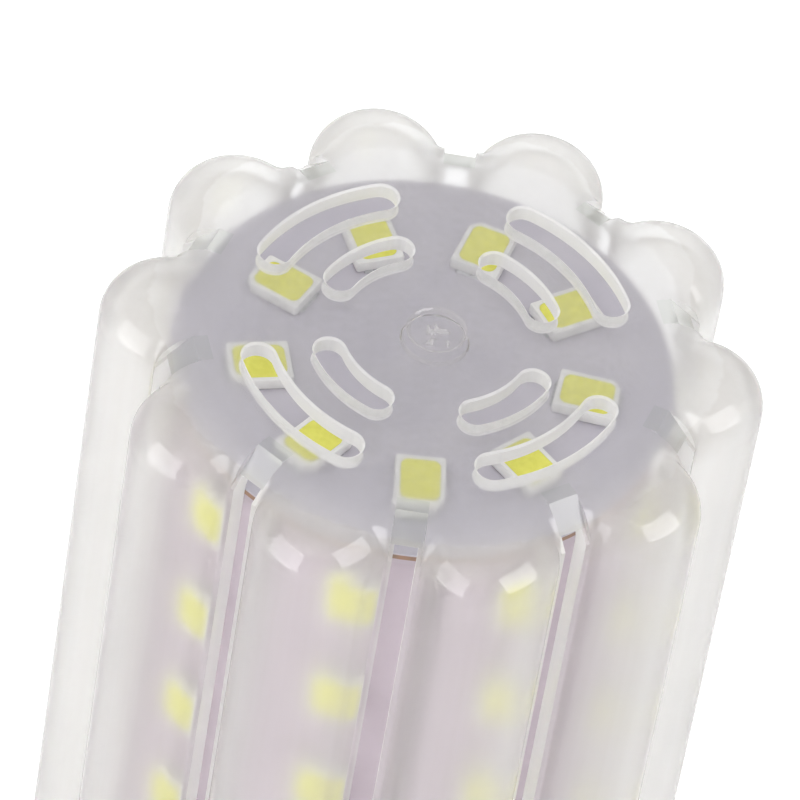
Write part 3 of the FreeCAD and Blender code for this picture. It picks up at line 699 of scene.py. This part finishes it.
package, resin, leads = ledTemplates(ledSpec)
stripPlaces, topPlaces = ledPlaces(columnSpec)
stripBodies = ["strip_packages_%d" % (i + 1) for i in range(columnSpec["strips"])]
stripResins = ["strip_phosphors_%d" % (i + 1) for i in range(columnSpec["strips"])]
for name, template, places, finish, slot, smooth, replaced in (
    ("stripLedBodies", package, stripPlaces, "ledPackage", "led_package", 35.0, stripBodies),
    ("stripLedResin", resin, stripPlaces, "ledPhosphor", "led_phosphor", 50.0, stripResins),
    ("topLedBodies", package, topPlaces, "ledPackage", "led_package", 35.0, ["top_packages"]),
    ("topLedResin", resin, topPlaces, "ledPhosphor", "led_phosphor", 50.0, ["top_phosphors"]),
    ("stripLedSolder", leads, stripPlaces, "solderTin", "solder", 50.0, ()),
    ("topLedSolder", leads, topPlaces, "solderTin", "solder", 50.0, ()),
):
    putMesh(name, *repeated(template, places), finishes[finish], slot, smooth, replaced)


# Screw cap and housing

shellSpec = {
    "root": 12.2, "crest": 13.2, "pitch": 3.629, "threadLow": 7.2, "threadHigh": 19.3, "fade": 0.45,
    "metal": 0.35, "collar": 13.05, "low": 4.0, "collarLow": 22.0, "flare": 0.8, "rim": 26.5, "mouth": 10.4,
    "columns": 220, "threadRows": 130,
}


def buildShell(s):
    # Rolled sheet: radius = root + height * wave(z / pitch - angle / turn), faded out at both thread ends.
    turn = 2 * np.pi * np.arange(s["columns"]) / s["columns"]
    collar = s["collarLow"]
    z = np.concatenate([np.linspace(s["low"] + 1.2, collar - 0.8, s["threadRows"]),
                        np.linspace(collar - 0.6, collar, 4), np.linspace(collar + 0.3, s["rim"], 6)])
    flare = np.clip((z - collar + s["flare"]) / s["flare"], 0, 1)
    straight = s["root"] + (s["collar"] - s["root"]) * flare * flare * (3 - 2 * flare)
    phase = (z[:, None] - s["threadLow"]) / s["pitch"] - turn / (2 * np.pi)
    wave = 0.5 + 0.5 * np.cos(2 * np.pi * phase)
    wave = wave * wave * (3 - 2 * wave)
    half = s["fade"] * s["pitch"]
    fadeIn = np.clip((z - s["threadLow"] + half) / half, 0, 1)
    fadeOut = np.clip((s["threadHigh"] + half - z) / half, 0, 1)
    outer = straight[:, None] + (s["crest"] - s["root"]) * wave * (fadeIn * fadeOut)[:, None]
    direction = np.exp(1j * turn)
    lip = [(s["mouth"], s["low"]), (s["mouth"] + 0.7, s["low"]), (s["root"] - 0.55, s["low"] + 0.3),
           (s["root"] - 0.12, s["low"] + 0.75)]
    innerLip = [(radius - 0.2, height + 0.35) for radius, height in lip[::-1]]
    innerLip[-1] = (s["mouth"], s["low"] + 0.35)
    rings = lip + list(zip(outer, z)) + list(zip(outer[::-1] - s["metal"], z[::-1])) + innerLip
    rows = [spread(radius * direction, height) for radius, height in rings]
    return np.concatenate(rows), [gridFaces(len(rows), s["columns"], True)]


putMesh("rolledScrewShell", *buildShell(shellSpec), finishes["nickelShell"], "plated_shell", 50.0,
        ("screw_shell",))

housingSpec = {
    "foot": 14.4, "footHigh": 28.0, "band": 19.4, "bandLow": 41.0, "rim": 48.5, "wall": 1.5, "seat": 18.25,
    "seatZ": 44.8, "collarInside": 12.7, "shellRim": 26.5, "collarLow": 22.0, "neck": 11.85, "neckBore": 10.2,
    "neckLow": 7.0, "deck": 13.9, "deckBore": 9.5, "edgeRound": 0.35, "belly": 1.15, "bellySteps": 24,
}


def buildHousing(h, column):
    # profile of the moulded housing: its belly swells from the foot to the band as a power of a quarter sine
    t = np.linspace(0, 1, h["bellySteps"])
    outline = h["foot"] + (h["band"] - h["foot"]) * np.sin(t * np.pi / 2) ** h["belly"]
    heights = h["footHigh"] + (h["bandLow"] - h["footHigh"]) * t
    belly = list(zip(outline, heights))
    inside = [(radius - h["wall"], height) for radius, height in belly[::-1]]
    deckZ = column["firstRow"] - (column["rows"] - 1) * column["pitch"] - column["belowRows"]
    sharp = [(h["neckBore"], h["neckLow"]), (h["neck"], h["neckLow"]), (h["neck"], h["collarLow"] - 0.8),
             (h["collarInside"], h["collarLow"]), (h["collarInside"], h["shellRim"]),
             (h["foot"], h["shellRim"])]
    upper = [(h["band"], h["rim"]), (h["seat"], h["rim"]), (h["seat"], h["seatZ"]), (h["deck"], h["seatZ"]),
             (h["deck"], deckZ), (h["deckBore"], deckZ), (h["deckBore"], deckZ - h["wall"]),
             (h["deck"] - h["wall"], deckZ - h["wall"]), (h["deck"] - h["wall"], h["seatZ"] - h["wall"]),
             (h["band"] - h["wall"], h["seatZ"] - h["wall"])]
    corners = sharp + belly + upper + inside + [(h["neckBore"], h["footHigh"] - 1.0)]
    return lathe(roundedProfile(corners, h["edgeRound"]))


putMesh("mouldedHousing", *buildHousing(housingSpec, columnSpec), finishes["whiteHousing"], "white_housing",
        40.0, ("base_housing",))

tipSpec = {
    "flat": 4.2, "contact": 4.8, "insulatorLow": 1.2, "insulatorTip": 5.6, "mouth": 10.4, "shellLow": 4.0,
    "bore": 1.2, "shankBore": 0.75, "insulatorRound": 0.35, "contactRound": 0.15,
}


def buildInsulator(s):
    # cone between the contact and the shell's mouth, with a bore for the shank, carried round the axis
    low, shell, mouth = s["insulatorLow"], s["shellLow"], s["mouth"]
    ringTop = shell + 1.3
    return lathe(roundedProfile([
        (s["bore"], low), (s["insulatorTip"], low), (mouth - 0.6, shell - 0.3), (mouth, shell),
        (mouth, shell + 0.4), (mouth - 0.4, ringTop), (s["bore"], ringTop)], s["insulatorRound"]))


def buildContact(s):
    # flat head below the insulator and a hollow shank riveted through it, carried round the axis
    low, shankTop = s["insulatorLow"], s["shellLow"] + 2.2
    return lathe(roundedProfile([
        (0.001, 0.0), (s["flat"], 0.0), (s["contact"], 0.5), (s["contact"], low), (s["bore"], low),
        (s["bore"], shankTop), (s["shankBore"], shankTop), (s["shankBore"], low), (0.001, low - 0.4)],
        s["contactRound"]), 128)


putMesh("glassyInsulator", *buildInsulator(tipSpec), finishes["blackInsulator"], "black_insulator", 40.0,
        ("shell_insulator",))
putMesh("rivetedContact", *buildContact(tipSpec), finishes["plateContact"], "plated_contact", 40.0,
        ("centre_contact",))


# Finishes of the nodes, by the start of their names

nodeFinishes = {
    "led_strip": "stripMask", "top_board": "topBoardMask", "lower_board": "boardMask",
    "strip_packages": "ledPackage", "top_packages": "ledPackage",
    "strip_phosphors": "ledPhosphor", "top_phosphors": "ledPhosphor",
    "upper_solder": "solderTin", "lower_solder": "solderTin",
    "base_housing": "whiteHousing", "screw_shell": "nickelShell", "shell_insulator": "blackInsulator",
    "centre_contact": "plateContact", "driver_board": "greenBoard", "electrolytic": "capacitorSleeve",
    "film": "filmBox", "choke": "ferrite", "bridge": "chipBlack", "driver_chip": "chipBlack",
    "fusible": "resistorBody", "live": "wireRed", "led_supply": "wireRed", "neutral": "wireBlack",
    "led_return": "wireBlack", "lens_cover": "clearCover",
}
for nodeName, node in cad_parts.items():
    finish = next(value for start, value in nodeFinishes.items() if nodeName.startswith(start))
    node.data.materials.clear()
    node.data.materials.append(finishes[finish])
print("materials given to all nodes")


# Floor, light and camera; distances and sizes here are in metres

stageSpec = {"floorSide": 1.5, "floorDrop": 0.00005, "floor": "#F4F4F4", "floorGlow": 0.3, "world": 0.85}
# Boxes of light aimed at the cover's top: bearing from the camera's side, height angle, distance, width,
# tallness, radiance. A mirrored box shows only as a patch in the gloss; the other gives soft light, no patch.
lampSpec = {
    "rightBox": (60.0, 31.0, 0.5, 0.5, 0.38, 4.8, True),
    "leftBox": (-52.0, 8.0, 0.35, 0.34, 0.32, 3.8, True),
    "fillBox": (-40.0, 48.0, 0.9, 0.6, 0.6, 1.8, False),
}
cameraView = {
    "elevation": 47.09, "roll": 9.99, "turn": -1.5, "focalPixels": 7747.0, "framePixels": 800.0,
    "sensor": 36.0, "distance": 419.8, "asideX": 1.994, "asideY": 3.824, "clipStart": 0.01,
}


def backdropShare(tree, lighting, seen):
    # one value for rays that show the backdrop to the camera, in gloss or through glass, another for lighting
    path = tree.nodes.new("ShaderNodeLightPath")
    shown = path.outputs["Is Camera Ray"]
    for kind in ("Is Transmission Ray", "Is Glossy Ray"):
        shown = combined(tree, "MAXIMUM", shown, path.outputs[kind])
    return ranged(tree, shown, 0.0, 1.0, lighting, seen)


def buildFloor(s):
    side, z = s["floorSide"], -s["floorDrop"]
    corners = [(-side, -side, z), (side, -side, z), (side, side, z), (-side, side, z)]
    mesh = bpy.data.meshes.new("paleFloor")
    mesh.from_pydata(corners, [], [(0, 1, 2, 3)])
    floor = bpy.data.objects.new("paleFloor", mesh)
    bpy.context.scene.collection.objects.link(floor)
    material, tree, shader = startMaterial("paleFloor", s["floor"], {
        "Roughness": 0.9, "Emission Color": (1, 1, 1, 1)})
    tree.links.new(backdropShare(tree, 0.0, s["floorGlow"]), shader.inputs["Emission Strength"])
    mesh.materials.append(material)


def buildWorld(s):
    world = bpy.data.worlds.new("studio")
    bpy.context.scene.world = world
    world.use_nodes = True
    tree = world.node_tree
    tree.nodes.clear()
    back = tree.nodes.new("ShaderNodeBackground")
    output = tree.nodes.new("ShaderNodeOutputWorld")
    back.inputs["Color"].default_value = (1, 1, 1, 1)
    tree.links.new(backdropShare(tree, s["world"], 1.0), back.inputs["Strength"])
    tree.links.new(back.outputs[0], output.inputs["Surface"])


def buildLamp(name, bearing, height, distance, width, tall, radiance, mirrored):
    data = bpy.data.lights.new(name, "AREA")
    data.shape = "RECTANGLE"
    data.size, data.size_y = width, tall
    data.energy = radiance * math.pi * width * tall
    side, rise = math.radians(bearing), math.radians(height)
    way = Vector((math.cos(rise) * math.sin(side), -math.cos(rise) * math.cos(side), math.sin(rise)))
    lamp = bpy.data.objects.new(name, data)
    lamp.location = Vector((0, 0, coverSpec["top"] * mm)) + distance * way
    lamp.rotation_euler = (-way).to_track_quat("-Z", "Y").to_euler()
    lamp.visible_glossy = mirrored
    lamp.visible_diffuse, lamp.visible_transmission = not mirrored, not mirrored
    bpy.context.scene.collection.objects.link(lamp)


def buildCamera(v):
    # Looks along +Y and down, turned and rolled a little. The middle of the cover's plate stands off the
    # frame's middle by asideX and asideY.
    up, roll, turn = (math.radians(v[key]) for key in ("elevation", "roll", "turn"))
    right = np.array([math.cos(turn), math.sin(turn), 0.0])
    ahead = np.array([-math.sin(turn) * math.cos(up), math.cos(turn) * math.cos(up), -math.sin(up)])
    above = np.cross(right, ahead)
    x = math.cos(roll) * right + math.sin(roll) * above
    y = -math.sin(roll) * right + math.cos(roll) * above
    place = np.array([0, 0, coverSpec["top"]]) - x * v["asideX"] - y * v["asideY"] - ahead * v["distance"]
    data = bpy.data.cameras.new("photoCamera")
    data.sensor_width = v["sensor"]
    data.lens = v["focalPixels"] / v["framePixels"] * v["sensor"]
    data.clip_start = v["clipStart"]
    camera = bpy.data.objects.new("photoCamera", data)
    matrix = np.eye(4)
    matrix[:3] = np.stack([x, y, -ahead, place * mm], -1)
    camera.matrix_world = Matrix(matrix.tolist())
    bpy.context.scene.collection.objects.link(camera)
    bpy.context.scene.camera = camera


buildFloor(stageSpec)
buildWorld(stageSpec)
for lampName, values in lampSpec.items():
    buildLamp(lampName, *values)
buildCamera(cameraView)
bpy.context.scene.view_settings.view_transform = "Standard"
bpy.context.scene.cycles.max_bounces = 16  # the cover has many clear walls behind each other
bpy.context.scene.cycles.transmission_bounces = 14
print("stage and camera ready")
